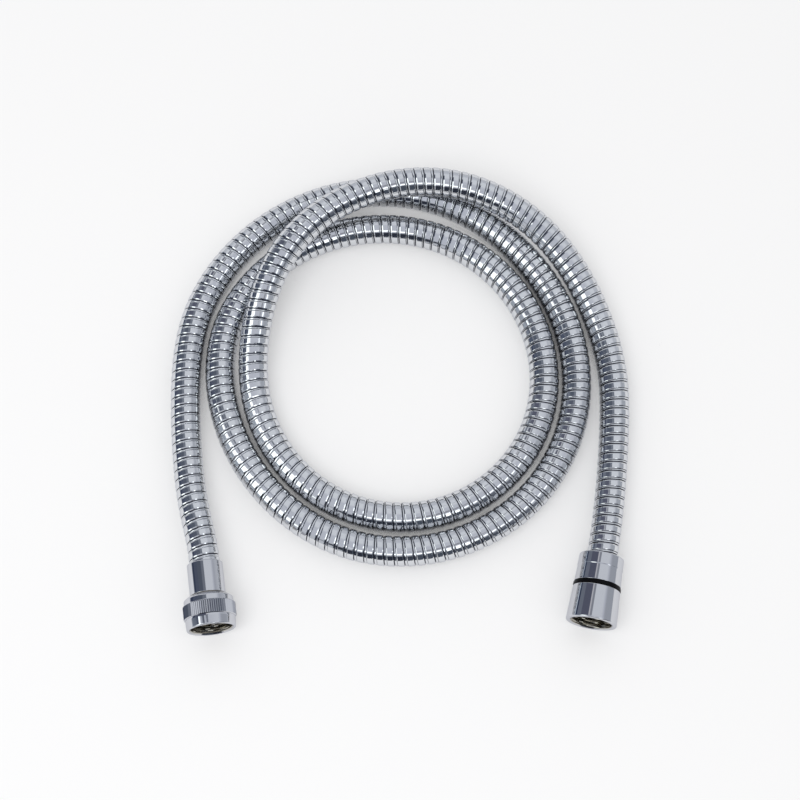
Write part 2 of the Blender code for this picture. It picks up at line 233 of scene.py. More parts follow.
@dataclass(frozen=True)
class Finish:
    """A surface finish with uneven gloss and a fine relief."""

    slot: Slot
    colour: Colour
    metallic: float
    roughness: float
    uneven: float = 0.02
    uneven_scale: float = 220.0
    relief: float = 0.000002
    relief_scale: float = 900.0
    specular: float = 0.5
    rim_tint: Colour = (1.0, 1.0, 1.0)

    def build(self) -> bpy.types.Material:
        """Make the material.

        Returns:
            The material, named for its slot.
        """
        material = bpy.data.materials.new(self.slot.value)
        material.use_nodes = True
        graph = Graph(material.node_tree)
        shader = material.node_tree.nodes["Principled BSDF"]
        shader.inputs["Metallic"].default_value = self.metallic
        shader.inputs["Specular IOR Level"].default_value = self.specular
        shader.inputs["Specular Tint"].default_value = (*self.rim_tint, 1.0)
        place = graph.node("ShaderNodeTexCoord").outputs["Object"]
        self.dress(graph, shader, place)
        return material

    def dress(self, graph: Graph, shader: bpy.types.Node, place: bpy.types.NodeSocket) -> None:
        """Fill the shader's colour, roughness and normal.

        Args:
            graph: The material's graph.
            shader: The material's shader.
            place: Coordinates on the object.
        """
        shader.inputs["Base Color"].default_value = (*self.colour, 1.0)
        graph.fill(shader.inputs["Roughness"], self.gloss(graph, place))
        graph.fill(shader.inputs["Normal"], self.bump(graph, self.grain(graph, place)))

    def gloss(self, graph: Graph, place: bpy.types.NodeSocket) -> Value:
        """Roughness that wanders a little over the surface.

        Args:
            graph: The material's graph.
            place: Coordinates on the object.

        Returns:
            The roughness.
        """
        sockets = {"Vector": place, "Scale": self.uneven_scale, "Detail": 3.0}
        cloud = graph.value(graph.node("ShaderNodeTexNoise", None, sockets), "Fac")
        return (cloud - 0.5) * (2.0 * self.uneven) + self.roughness

    def grain(self, graph: Graph, place: bpy.types.NodeSocket) -> Value:
        """The fine relief of the surface."""
        sockets = {"Vector": place, "Scale": self.relief_scale, "Detail": 2.0}
        return graph.value(graph.node("ShaderNodeTexNoise", None, sockets), "Fac")

    def bump(self, graph: Graph, height: Value) -> Value:
        """A bump of this finish's relief."""
        node = graph.node("ShaderNodeBump", None, {"Distance": self.relief, "Height": height})
        return graph.value(node, "Normal")


@dataclass(frozen=True)
class WoundStrip(Finish):
    """Chromed strip with painted shade in its grooves, which are rougher too, and fine drawing lines along
    it.
    """

    groove_shade: Colour = (0.05, 0.055, 0.075)
    groove_roughness: float = 0.30
    lines: float = 2600.0

    def dress(self, graph: Graph, shader: bpy.types.Node, place: bpy.types.NodeSocket) -> None:
        """Paint shade into the grooves and dull them, and draw the strip's fine lines.

        Args:
            graph: The material's graph.
            shader: The material's shader.
            place: Coordinates on the object.
        """
        # Painted shade: the groove attribute darkens the colour in the slits and on the shoulders beside
        # them, and makes them rougher.
        groove = graph.value(graph.node("ShaderNodeAttribute", {"attribute_name": "groove"}), "Fac")
        graph.fill(shader.inputs["Base Color"], graph.mix(groove, self.colour, self.groove_shade))
        gloss = self.gloss(graph, place) + groove * (self.groove_roughness - self.roughness)
        graph.fill(shader.inputs["Roughness"], gloss)
        along = graph.node("ShaderNodeUVMap", {"uv_map": "strip"}).outputs["UV"]
        stretched = graph.node("ShaderNodeMapping", None, {"Vector": along, "Scale": (60.0, self.lines, 1.0)})
        sockets = {"Vector": stretched.outputs["Vector"], "Scale": 1.0, "Detail": 2.0}
        drawn = graph.value(graph.node("ShaderNodeTexNoise", None, sockets), "Fac")
        graph.fill(shader.inputs["Normal"], self.bump(graph, drawn))


@dataclass(frozen=True)
class TurnedMetal(Finish):
    """Metal with faint rings from the lathe about the fitting's axis, and slow waves from polishing."""

    ring_scale: float = 3200.0
    ring: float = 0.15
    wave: float = 5.0
    wave_scale: float = 95.0
    axis: tuple[float, float, float] = (0.0, -1.0, 0.0)
    bore_painted_tone: Colour = (0.44, 0.415, 0.36)
    bore_roughness: float = 0.20

    def dress(self, graph: Graph, shader: bpy.types.Node, place: bpy.types.NodeSocket) -> None:
        """Inside the bores, paint shade and a reflection of the brass as a darker brass tone, and dull the
        gloss.

        Args:
            graph: The material's graph.
            shader: The material's shader.
            place: Coordinates on the object.
        """
        # Painted shade and reflection: the bore attribute turns the colour to a darker brass tone inside the
        # threaded mouths.
        bore = graph.value(graph.node("ShaderNodeAttribute", {"attribute_name": "bore"}), "Fac")
        graph.fill(shader.inputs["Base Color"], graph.mix(bore, self.colour, self.bore_painted_tone))
        gloss = self.gloss(graph, place) + bore * (self.bore_roughness - self.roughness)
        graph.fill(shader.inputs["Roughness"], gloss)
        graph.fill(shader.inputs["Normal"], self.bump(graph, self.grain(graph, place)))

    def grain(self, graph: Graph, place: bpy.types.NodeSocket) -> Value:
        """Rings along the axis over slow waves.

        Args:
            graph: The material's graph.
            place: Coordinates on the object.

        Returns:
            The height.
        """
        settings = {"operation": "DOT_PRODUCT"}
        station = graph.node("ShaderNodeVectorMath", settings, {0: place, 1: self.axis}).outputs["Value"]
        settings = {"noise_dimensions": "1D"}
        rings = graph.node("ShaderNodeTexNoise", settings, {"W": station, "Scale": self.ring_scale})
        sockets = {"Vector": place, "Scale": self.wave_scale, "Detail": 1.0}
        waves = graph.node("ShaderNodeTexNoise", None, sockets)
        return graph.value(rings, "Fac") * self.ring + graph.value(waves, "Fac") * self.wave


RIM = (0.80, 0.80, 0.82)
STRIP_CHROME = WoundStrip(
    Slot.HOSE_STRIP, (0.73, 0.74, 0.755), 1.0, 0.09, uneven=0.03, relief=0.0000025, rim_tint=RIM
)
CHROME = TurnedMetal(Slot.CHROME, (0.63, 0.635, 0.66), 1.0, 0.05, uneven=0.015, rim_tint=RIM)
BRASS = TurnedMetal(Slot.BRASS, (0.72, 0.53, 0.24), 1.0, 0.24, uneven=0.05, bore_painted_tone=(0.40, 0.29, 0.13))
SPRING_STEEL = Finish(Slot.SPRING_STEEL, (0.50, 0.50, 0.52), 1.0, 0.30)
RUBBER = Finish(Slot.RUBBER, (0.02, 0.02, 0.021), 0.0, 0.72, uneven=0.08, relief=0.00002, relief_scale=2500.0)
BLACK_PLASTIC = Finish(
    Slot.BLACK_PLASTIC, (0.003, 0.003, 0.004), 0.0, 0.34, uneven=0.05, relief=0.000006, specular=0.07
)
TUBE_PLASTIC = Finish(Slot.WATER_TUBE, (0.70, 0.71, 0.72), 0.0, 0.45, uneven=0.05, relief=0.00001)


# Modelling by hand


def deselect_all() -> None:
    """Leave edit mode and deselect every object."""
    if bpy.context.object and bpy.context.object.mode != "OBJECT":
        bpy.ops.object.mode_set(mode="OBJECT")
    bpy.ops.object.select_all(action="DESELECT")


@dataclass(frozen=True)
class Corner:
    """A corner of a turned outline: radius, station along the axis, and the width of its fillet."""

    radius: float
    station: float
    fillet: float = 0.0


@dataclass
class Thread:
    """A female pipe thread, cut into a plain bore."""

    inside: float = 0.018631
    outside: float = 0.020955
    pitch: float = 0.001814
    cuts: int = 36
    flat: float = 0.16
    flank: float = 0.68
    run_out: float = 0.4

    def height(self, turn: float) -> float:
        """Depth of the thread's outline, from 0 at its crest to 1 at its root, at a share of a turn."""
        wave = abs(2.0 * (turn % 1.0) - 1.0)
        return min(max((wave - self.flat) / self.flank, 0.0), 1.0)


class Lathe:
    """Turns a closed outline of corners into a ring-shaped piece, with its axis on Z."""

    def __init__(self, name: str, corners: Sequence[Corner], segments: int = 96) -> None:
        """Turn the outline.

        Args:
            name: The new object's name.
            corners: The outline's corners in order; the last is joined to the first.
            segments: How many facets go round.
        """
        self.segments = segments
        self.corners = self._supported(corners)
        self.bore_within = 0.0
        deselect_all()
        first = self.corners[0]
        bpy.ops.mesh.primitive_circle_add(
            vertices=segments, radius=first.radius, location=(0.0, 0.0, first.station), fill_type="NOTHING"
        )
        self.piece = bpy.context.active_object
        self.piece.name = name
        self.piece.data.name = name
        bpy.ops.object.transform_apply(location=True, rotation=False, scale=False)
        bpy.ops.object.mode_set(mode="EDIT")
        bpy.ops.mesh.select_all(action="SELECT")
        for before, after in pairwise(self.corners):
            self._pull(before, after)
        bpy.ops.mesh.select_all(action="DESELECT")
        bpy.ops.mesh.select_non_manifold()
        bpy.ops.mesh.bridge_edge_loops()
        for corner in self.corners:
            if corner.fillet > 0.0:
                self._round(corner)

    @staticmethod
    def _supported(corners: Sequence[Corner], margin: float = 0.00012) -> list[Corner]:
        """Add a ring close to both ends of each long side, so that its shading stays flat up to there.

        Args:
            corners: The outline's corners in order.
            margin: How far from a corner's fillet each ring lies.

        Returns:
            The corners with the rings between them.
        """
        full = []
        for corner, following in zip(corners, [*corners[1:], corners[0]]):
            full.append(corner)
            rise = following.station - corner.station
            growth = following.radius - corner.radius
            length = math.hypot(rise, growth)
            near = corner.fillet + margin
            far = length - following.fillet - margin
            if far - near < 3.0 * margin:
                continue
            for step in (near / length, far / length):
                full.append(Corner(corner.radius + growth * step, corner.station + rise * step))
        return full

    def _pull(self, before: Corner, after: Corner) -> None:
        """Extrude the ring from one corner to the next.

        Args:
            before: The corner where the ring is.
            after: The corner that it is pulled to.
        """
        rise = {"value": (0.0, 0.0, after.station - before.station)}
        bpy.ops.mesh.extrude_region_move(TRANSFORM_OT_translate=rise)
        growth = after.radius / before.radius
        bpy.ops.transform.resize(value=(growth, growth, 1.0), center_override=(0.0, 0.0, after.station))

    def _round(self, corner: Corner) -> None:
        """Bevel the ring of edges at a corner."""
        self.select_edges(lambda a, b: self.on_ring(a, corner) and self.on_ring(b, corner))
        bpy.ops.mesh.bevel(offset=corner.fillet, offset_type="OFFSET", segments=3, affect="EDGES")

    @staticmethod
    def on_ring(point: Vector, corner: Corner) -> bool:
        """Whether a point lies on a corner's ring."""
        near = abs(math.hypot(point.x, point.y) - corner.radius) < CLOSE
        return near and abs(point.z - corner.station) < CLOSE

    def select_edges(self, test: Callable[[Vector, Vector], bool]) -> None:
        """Select the edges whose two ends pass a test.

        Args:
            test: Takes an edge's two ends and says whether it is selected.
        """
        bpy.ops.mesh.select_mode(type="EDGE")
        bpy.ops.mesh.select_all(action="DESELECT")
        shape = bmesh.from_edit_mesh(self.piece.data)
        for edge in shape.edges:
            edge.select = test(edge.verts[0].co, edge.verts[1].co)
        shape.select_flush_mode()
        bmesh.update_edit_mesh(self.piece.data)

    def knurl(self, crest: float, root: float) -> None:
        """Press every second line of a crest's vertices down to the root.

        Args:
            crest: Radius of the band that is knurled.
            root: Radius of the lines between its teeth.
        """
        bpy.ops.mesh.select_mode(type="VERT")
        bpy.ops.mesh.select_all(action="DESELECT")
        shape = bmesh.from_edit_mesh(self.piece.data)
        for vertex in shape.verts:
            on_crest = abs(math.hypot(vertex.co.x, vertex.co.y) - crest) < CLOSE
            line = round(math.atan2(vertex.co.y, vertex.co.x) / math.tau * self.segments)
            vertex.select = on_crest and line % 2 == 1
        shape.select_flush_mode()
        bmesh.update_edit_mesh(self.piece.data)
        size = root / crest
        bpy.ops.transform.resize(value=(size, size, 1.0), center_override=(0.0, 0.0, 0.0))

    def thread(self, thread: Thread, start: float, end: float) -> None:
        """Cut a thread into the bore between two stations.

        Args:
            thread: The thread's sizes.
            start: Station of the thread's inner end.
            end: Station of its mouth.
        """
        radius = thread.inside / 2
        most = 0.7 * (end - start)
        self.select_edges(
            lambda a, b: abs(math.hypot(a.x, a.y) - radius) < CLOSE
            and abs(math.hypot(b.x, b.y) - radius) < CLOSE
            and abs(a.z - b.z) > most
        )
        bpy.ops.mesh.subdivide(number_cuts=thread.cuts)
        shape = bmesh.from_edit_mesh(self.piece.data)
        for vertex in shape.verts:
            if abs(math.hypot(vertex.co.x, vertex.co.y) - radius) > CLOSE:
                continue
            if not start < vertex.co.z < end:
                continue
            turn = vertex.co.z / thread.pitch - math.atan2(vertex.co.y, vertex.co.x) / math.tau
            room = min(vertex.co.z - start, end - vertex.co.z) / (thread.run_out * thread.pitch)
            depth = (thread.outside - thread.inside) / 2 * thread.height(turn) * min(room, 1.0)
            vertex.co.x *= 1.0 + depth / radius
            vertex.co.y *= 1.0 + depth / radius
        bmesh.update_edit_mesh(self.piece.data)

    def _mark_bore(self) -> None:
        """Mark the points of the thread and the bores behind it, for the finish's painted shade and
        reflection.
        """
        mesh = self.piece.data
        mouth = max(corner.station for corner in self.corners)
        marks = []
        for vertex in mesh.vertices:
            inside = math.hypot(vertex.co.x, vertex.co.y) < self.bore_within
            marks.append(1.0 if inside and vertex.co.z < mouth - LIP else 0.0)
        mesh.attributes.new("bore", "FLOAT", "POINT").data.foreach_set("value", marks)

    def finish(self, place: Matrix, material: bpy.types.Material, smooth: float = 32.0) -> bpy.types.Object:
        """Point the faces outwards, put the piece in its place and give it its material.

        Args:
            place: The fitting's axis in the world.
            material: The piece's material.
            smooth: Edges under this many degrees are shaded smooth.

        Returns:
            The finished object, which sits at the origin with its place in its mesh.
        """
        bpy.ops.mesh.select_all(action="SELECT")
        bpy.ops.mesh.normals_make_consistent(inside=False)
        bpy.ops.object.mode_set(mode="OBJECT")
        bpy.ops.object.shade_smooth_by_angle(angle=math.radians(smooth))
        self._mark_bore()
        self.piece.data.transform(place)
        self.piece.data.materials.clear()
        self.piece.data.materials.append(material)
        return self.piece


# The hose


@dataclass
class HoseRoute:
    """Where the hose lies: the places that it passes between its two cut ends."""

    mixer_tail: Sequence[tuple[float, float, float]] = (
        (-0.0964, 0.0392, 0.0087),
        (-0.1007, 0.0656, 0.0074),
        (-0.1027, 0.0956, 0.0071),
    )
    coil_middle: tuple[float, float] = (-0.0017, 0.1076)
    coil_start: float = 165.0
    coil_turn: float = -30.0
    coil: Sequence[tuple[float, float]] = (
        (0.1007, 0.0070), (0.0977, 0.0070), (0.0937, 0.0070), (0.0886, 0.0070), (0.0834, 0.0070),
        (0.0825, 0.0070), (0.0846, 0.0070), (0.0867, 0.0070), (0.0875, 0.0070), (0.0873, 0.0070),
        (0.0853, 0.0070), (0.0848, 0.0070), (0.0850, 0.0070), (0.0799, 0.0070), (0.0741, 0.0070),
        (0.0701, 0.0070), (0.0678, 0.0070), (0.0675, 0.0070), (0.0691, 0.0070), (0.0708, 0.0070),
        (0.0717, 0.0070), (0.0714, 0.0071), (0.0700, 0.0073), (0.0692, 0.0076), (0.0705, 0.0132),
        (0.0771, 0.0222), (0.0856, 0.0225), (0.0928, 0.0215), (0.0966, 0.0143), (0.0977, 0.0077),
    )
    handset_tail: Sequence[tuple[float, float, float]] = (
        (0.0987, 0.1056, 0.0071),
        (0.0985, 0.0776, 0.0072),
        (0.0955, 0.0476, 0.0080),
    )
    lead: float = 0.0130

    def places(self) -> list[tuple[float, float, float]]:
        """The places between the two straight leads, in order.

        Returns:
            The mixer's tail, the coil and the handset's tail, as points.
        """
        turned = []
        for number, (radius, height) in enumerate(self.coil):
            angle = math.radians(self.coil_start + self.coil_turn * number)
            x = self.coil_middle[0] + radius * math.cos(angle)
            y = self.coil_middle[1] + radius * math.sin(angle)
            turned.append((x, y, height))
        return [*self.mixer_tail, *turned, *self.handset_tail]

    def line(self, first: Vector, leaving: Vector, last: Vector, arriving: Vector) -> np.ndarray:
        """The hose's axis as closely spaced points.

        Args:
            first: The cut end in the ferrule.
            leaving: The way that the hose leaves it.
            last: The cut end in the collar.
            arriving: The way that the hose arrives there.

        Returns:
            An array of points, from the ferrule to the collar.
        """
        start = first + leaving * self.lead
        end = last - arriving * self.lead
        curve = self._smooth([start, *self.places(), end], leaving, arriving)
        return np.concatenate([[np.array(first)], curve, [np.array(last)]])

    @staticmethod
    def _smooth(points: Sequence, start: Vector, end: Vector, samples: int = 40) -> np.ndarray:
        """A curve through the points whose bend is continuous, with its end directions given.

        Args:
            points: The points that it passes.
            start: Its direction at the first point.
            end: Its direction at the last point.
            samples: How many points are made for each span.

        Returns:
            The curve, as closely spaced points.
        """
        points = np.array(points)
        spans = np.linalg.norm(np.diff(points, axis=0), axis=1)
        slopes = np.diff(points, axis=0) / spans[:, None]
        count = len(points)
        system = np.eye(count)
        sides = np.zeros((count, 3))
        sides[0] = start
        sides[-1] = end
        for i in range(1, count - 1):
            before = spans[i - 1]
            after = spans[i]
            system[i, i - 1:i + 2] = (after, 2 * (before + after), before)
            sides[i] = 3 * (after * slopes[i - 1] + before * slopes[i])
        tangents = np.linalg.solve(system, sides)
        steps = np.linspace(0.0, 1.0, samples, endpoint=False)[:, None]
        rise = 3 * steps**2 - 2 * steps**3
        line = []
        for i, span in enumerate(spans):
            leave = (steps - 2 * steps**2 + steps**3) * span
            arrive = (steps**3 - steps**2) * span
            chord = points[i + 1] - points[i]
            line.extend(points[i] + rise * chord + leave * tangents[i] + arrive * tangents[i + 1])
        line.append(points[-1])
        return np.array(line)


@dataclass
class WoundHose:
    """The metal hose: a profiled strip wound in a helix and locked into itself."""

    route: HoseRoute = field(default_factory=HoseRoute)
    radius: float = 0.0070
    pitch: float = 0.00436
    band: float = 0.00310
    slit_depth: float = 0.00080
    around: int = 28
    creases: Sequence[int] = (2, 3)
    axis_points: int = 6000
    bend_window: int = 41
    smooth_degrees: float = 48.0

    def profile(self) -> list[tuple[float, float, float]]:
        """One pitch of the strip.

        The band is a plain cylinder between two rolled shoulders, of which the back one is wide, and a
        narrow rib lies between the two slits.

        Returns:
            For each row its offset from the band's middle, its radius, and how deep in the groove it is,
            which sets its painted shade.
        """
        half = self.band / 2
        rib = self.pitch - self.band
        outline = [
            (-half, -self.slit_depth, 1.0),
            (-half + 0.00010, -0.00022, 0.05),
            (-half + 0.00058, -0.00002, 0.0),
            (half - 0.00025, 0.0, 0.0),
            (half - 0.00003, -0.00010, 0.1),
            (half, -0.00060, 1.0),
            (half + 0.00014, -0.00030, 0.1),
            (half + 0.00040, -0.00018, 0.0),
            (half + 0.66 * rib, -0.00020, 0.0),
            (half + 0.80 * rib, -self.slit_depth, 1.0),
        ]
        return [(offset, self.radius + drop, depth) for offset, drop, depth in outline]

    def build(self, line: np.ndarray, material: bpy.types.Material) -> bpy.types.Object:
        """Wind the strip along the hose's axis.

        Args:
            line: The axis, as closely spaced points.
            material: The strip's material.

        Returns:
            The hose, as one mesh.
        """
        spans = np.linalg.norm(np.diff(line, axis=0), axis=1)
        lengths = np.concatenate([[0.0], np.cumsum(spans)])
        total = lengths[-1]
        even = np.linspace(0.0, total, self.axis_points)
        axis = self._read(even, lengths, line)
        along = self._unit(np.gradient(axis, even, axis=0))
        bend = np.gradient(along, even, axis=0)
        window = np.ones(self.bend_window) / self.bend_window
        bend = np.stack([np.convolve(bend[:, k], window, mode="same") for k in range(3)], axis=1)
        side = self._unit(np.cross(along, (0.0, 0.0, 1.0)))
        up = np.cross(side, along)

        turns = int(total / self.pitch) + 2
        count = turns * self.around
        steps = np.arange(count)
        angle = -math.tau * steps / self.around
        middle = (steps / self.around - 0.5) * self.pitch
        across = np.cos(angle)[:, None] * self._read(middle, even, side)
        across += np.sin(angle)[:, None] * self._read(middle, even, up)
        across = self._unit(across)
        stretch = 1.0 - self.radius * np.sum(self._read(middle, even, bend) * across, axis=1)

        rows = []
        depths = []
        for offset, radius, depth in self.profile():
            if offset > self.pitch / 2:
                place = middle + self.pitch - (self.pitch - offset) / stretch
            else:
                place = middle + offset / stretch
            place = np.clip(place, 0.0, total)
            outward = np.cos(angle)[:, None] * self._read(place, even, side)
            outward += np.sin(angle)[:, None] * self._read(place, even, up)
            rows.append(self._read(place, even, axis) + radius * outward)
            depths.append(np.full(count, depth))
        points = np.stack(rows, axis=1).reshape(-1, 3)
        return self._mesh(points, np.stack(depths, axis=1).ravel(), count, material)

    def _mesh(
        self, points: np.ndarray, depths: np.ndarray, count: int, material: bpy.types.Material
    ) -> bpy.types.Object:
        """Join the wound points into one surface, with the strip's own map and its groove attribute.

        Args:
            points: The points, profile by profile along the strip.
            depths: How deep in the groove each point is.
            count: How many profiles there are.
            material: The strip's material.

        Returns:
            The hose's object.
        """
        profile = self.profile()
        width = len(profile)
        faces = []
        maps = []
        reach = math.tau * self.radius / self.around
        offsets = [entry[0] for entry in profile] + [self.pitch - self.band / 2]
        for step in range(count - self.around - 1):
            base = step * width
            after = base + width
            turn = self.around * width
            for row in range(width):
                last = row == width - 1
                ahead = base + turn if last else base + row + 1
                ahead_after = after + turn if last else after + row + 1
                faces.append((base + row, ahead, ahead_after, after + row))
                low, high = offsets[row], offsets[row + 1]
                left, right = step * reach, (step + 1) * reach
                maps.extend((left, low, left, high, right, high, right, low))
        mesh = bpy.data.meshes.new("wound_strip")
        mesh.from_pydata(points.tolist(), [], faces)
        layer = mesh.uv_layers.new(name="strip")
        layer.data.foreach_set("uv", maps)
        groove = mesh.attributes.new("groove", "FLOAT", "POINT")
        groove.data.foreach_set("value", depths)
        mesh.materials.append(material)
        hose = bpy.data.objects.new("wound_strip", mesh)
        bpy.context.scene.collection.objects.link(hose)
        deselect_all()
        hose.select_set(True)
        bpy.context.view_layer.objects.active = hose
        bpy.ops.object.shade_smooth_by_angle(angle=math.radians(self.smooth_degrees))
        self._crease(mesh, width)
        return hose

    def _crease(self, mesh: bpy.types.Mesh, width: int) -> None:
        """Mark the band's two edges sharp, so that its shading stays plain between them.

        Args:
            mesh: The wound mesh.
            width: How many points each profile has.
        """
        ends = np.zeros(2 * len(mesh.edges), dtype=np.int32)
        mesh.edges.foreach_get("vertices", ends)
        low, high = np.sort(ends.reshape(-1, 2), axis=1).T
        sharp = mesh.attributes.get("sharp_edge") or mesh.attributes.new("sharp_edge", "BOOLEAN", "EDGE")
        marks = np.zeros(len(mesh.edges), dtype=bool)
        sharp.data.foreach_get("value", marks)
        marks |= (high - low == width) & np.isin(low % width, self.creases)
        sharp.data.foreach_set("value", marks)
        mesh.update()

    @staticmethod
    def _read(stations: np.ndarray, known: np.ndarray, rows: np.ndarray) -> np.ndarray:
        """Rows of a table at some stations."""
        return np.stack([np.interp(stations, known, rows[:, k]) for k in range(3)], axis=1)

    @staticmethod
    def _unit(rows: np.ndarray) -> np.ndarray:
        """Rows made one long."""
        return rows / np.linalg.norm(rows, axis=1)[:, None]


# The fittings


@dataclass
class FittingAxis:
    """A fitting's axis: +Z runs out of its mouth, and Z = 0 is at the hose's cut end."""

    origin: Vector
    out: Vector

    @classmethod
    def of_joint(cls, joints: Iterable[dict], name: str) -> FittingAxis:
        """The axis that a joint of the frame turns about."""
        joint = next(entry for entry in joints if entry["name"] == name)
        return cls(Vector(joint["pos_m"]), Vector(joint["axis"]).normalized())

    def place(self) -> Matrix:
        """The matrix that lays a piece turned on Z onto this axis.

        Returns:
            The matrix, which moves and turns and doesn't scale.
        """
        across = Vector((-self.out.y, self.out.x, 0.0)).normalized()
        turned = Matrix((across, self.out.cross(across), self.out)).transposed().to_4x4()
        return Matrix.Translation(self.origin) @ turned


@dataclass
class Seal:
    """A flat washer."""

    inside: float = 0.0055
    outside: float = 0.00895
    thickness: float = 0.0020

    def build(self, name: str, back: float, place: Matrix, material: bpy.types.Material) -> bpy.types.Object:
        """Turn the washer with its back at a station.

        Args:
            name: The new object's name.
            back: Station of its back.
            place: The fitting's axis in the world.
            material: The washer's material.

        Returns:
            The washer.
        """
        front = back + self.thickness
        corners = [
            Corner(self.outside, front, 0.00025),
            Corner(self.outside, back, 0.00025),
            Corner(self.inside, back, 0.00025),
            Corner(self.inside, front, 0.00025),
        ]
        return Lathe(name, corners, 64).finish(place, material)


@dataclass
class MixerFitting:
    """Ferrule, brass insert, knurled nut and washer at the mixer's end."""

    bore: float = 0.00712
    ferrule: float = 0.00812
    ferrule_back: float = -0.0102
    ferrule_front: float = 0.0046
    nut_back: float = 0.0049
    nut_mouth: float = 0.0205
    lip: float = 0.0016
    cone: float = 0.0018
    shoulder: float = 0.0112
    knurl_start: float = 0.0042
    knurl_length: float = 0.0065
    teeth: int = 76
    crest: float = 0.01187
    root: float = 0.01145
    band: float = 0.01135
    rim: float = 0.01110
    waterway: float = 0.0026
    neck: float = 0.0070
    neck_bore: float = 0.0050
    barb: float = 0.00345
    barb_back: float = -0.0107
    barb_front: float = 0.0003
    throat: float = 0.0073
    throat_rim: float = 0.0086
    chamfer: float = 0.0009
    flange: float = 0.0089
    flange_thickness: float = 0.0020
    flange_play: float = 0.0003
    funnel_back: float = 0.0020
    funnel_front: float = 0.0040
    seal_gap: float = 0.0006
    thread_lead: float = 0.0052
    thread: Thread = field(default_factory=Thread)
    washer: Seal = field(default_factory=Seal)

    def build(self, axis: FittingAxis, finishes: dict[Slot, bpy.types.Material]) -> list[bpy.types.Object]:
        """Turn the four pieces and let them ride on their bodies.

        Args:
            axis: The fitting's axis.
            finishes: The materials by slot.

        Returns:
            The four pieces.
        """
        place = axis.place()
        ferrule = self.turn_ferrule().finish(place, finishes[Slot.CHROME])
        insert = self.turn_insert().finish(place, finishes[Slot.BRASS])
        nut = self.turn_nut().finish(place, finishes[Slot.CHROME])
        seal_back = self.nut_back + self.lip + self.flange_thickness + self.seal_gap
        washer = self.washer.build("mixer_seal", seal_back, place, finishes[Slot.RUBBER])
        settle(ferrule, "hose", Slot.CHROME, "mixer_ferrule")
        settle(insert, "hose", Slot.BRASS, "mixer_insert")
        settle(nut, "mixer_nut", Slot.CHROME, "mixer_nut")
        settle(washer, "mixer_nut", Slot.RUBBER, "mixer_washer")
        return [ferrule, insert, nut, washer]

    def turn_ferrule(self) -> Lathe:
        """The crimped ferrule, rolled in a little over the hose.

        Returns:
            The ferrule, still on its lathe.
        """
        corners = [
            Corner(self.ferrule, self.ferrule_front, 0.00015),
            Corner(self.ferrule, self.ferrule_back, 0.00055),
            Corner(self.bore, self.ferrule_back, 0.00015),
            Corner(self.bore, self.ferrule_front),
        ]
        return Lathe("crimped_ferrule", corners)

    def turn_insert(self) -> Lathe:
        """The brass insert with its barb, neck and flange.

        Returns:
            The insert, still on its lathe.
        """
        flange_back = self.nut_back + self.lip + self.flange_play
        flange_front = flange_back + self.flange_thickness
        corners = [
            Corner(self.flange, flange_front, 0.0002),
            Corner(self.flange, flange_back),
            Corner(self.neck, flange_back),
            Corner(self.neck, self.barb_front),
            Corner(self.barb, self.barb_front),
            Corner(self.barb, self.barb_back),
            Corner(self.waterway, self.barb_back),
            Corner(self.waterway, self.funnel_back),
            Corner(self.neck_bore, self.funnel_front),
            Corner(self.neck_bore, flange_front, 0.0002),
        ]
        return Lathe("brass_insert", corners)

    def turn_nut(self) -> Lathe:
        """The swivel nut: its back cone, knurl, plain band and threaded mouth.

        Returns:
            The nut, still on its lathe.
        """
        knurl_back = self.nut_back + self.knurl_start
        knurl_front = knurl_back + self.knurl_length
        seat = self.nut_back + self.lip
        bore = self.thread.inside / 2
        corners = [
            Corner(bore + self.chamfer, self.nut_mouth, 0.00015),
            Corner(self.rim, self.nut_mouth, 0.00055),
            Corner(self.band, knurl_front + 0.0007, 0.00012),
            Corner(self.root - 0.0002, knurl_front),
            Corner(self.crest, knurl_front - 0.00035),
            Corner(self.crest, knurl_back + 0.00035),
            Corner(self.root - 0.0002, knurl_back),
            Corner(self.shoulder, knurl_back - 0.0001, 0.0001),
            Corner(self.shoulder, self.nut_back + self.cone, 0.00035),
            Corner(self.throat_rim, self.nut_back, 0.00015),
            Corner(self.throat, self.nut_back),
            Corner(self.throat, seat),
            Corner(bore, seat),
            Corner(bore, self.nut_mouth - self.chamfer),
        ]
        turned = Lathe("knurled_nut", corners, 2 * self.teeth)
        turned.thread(self.thread, seat + self.thread_lead, self.nut_mouth - self.chamfer)
        turned.knurl(self.crest, self.root)
        turned.bore_within = self.thread.outside / 2 + SLACK
        return turned


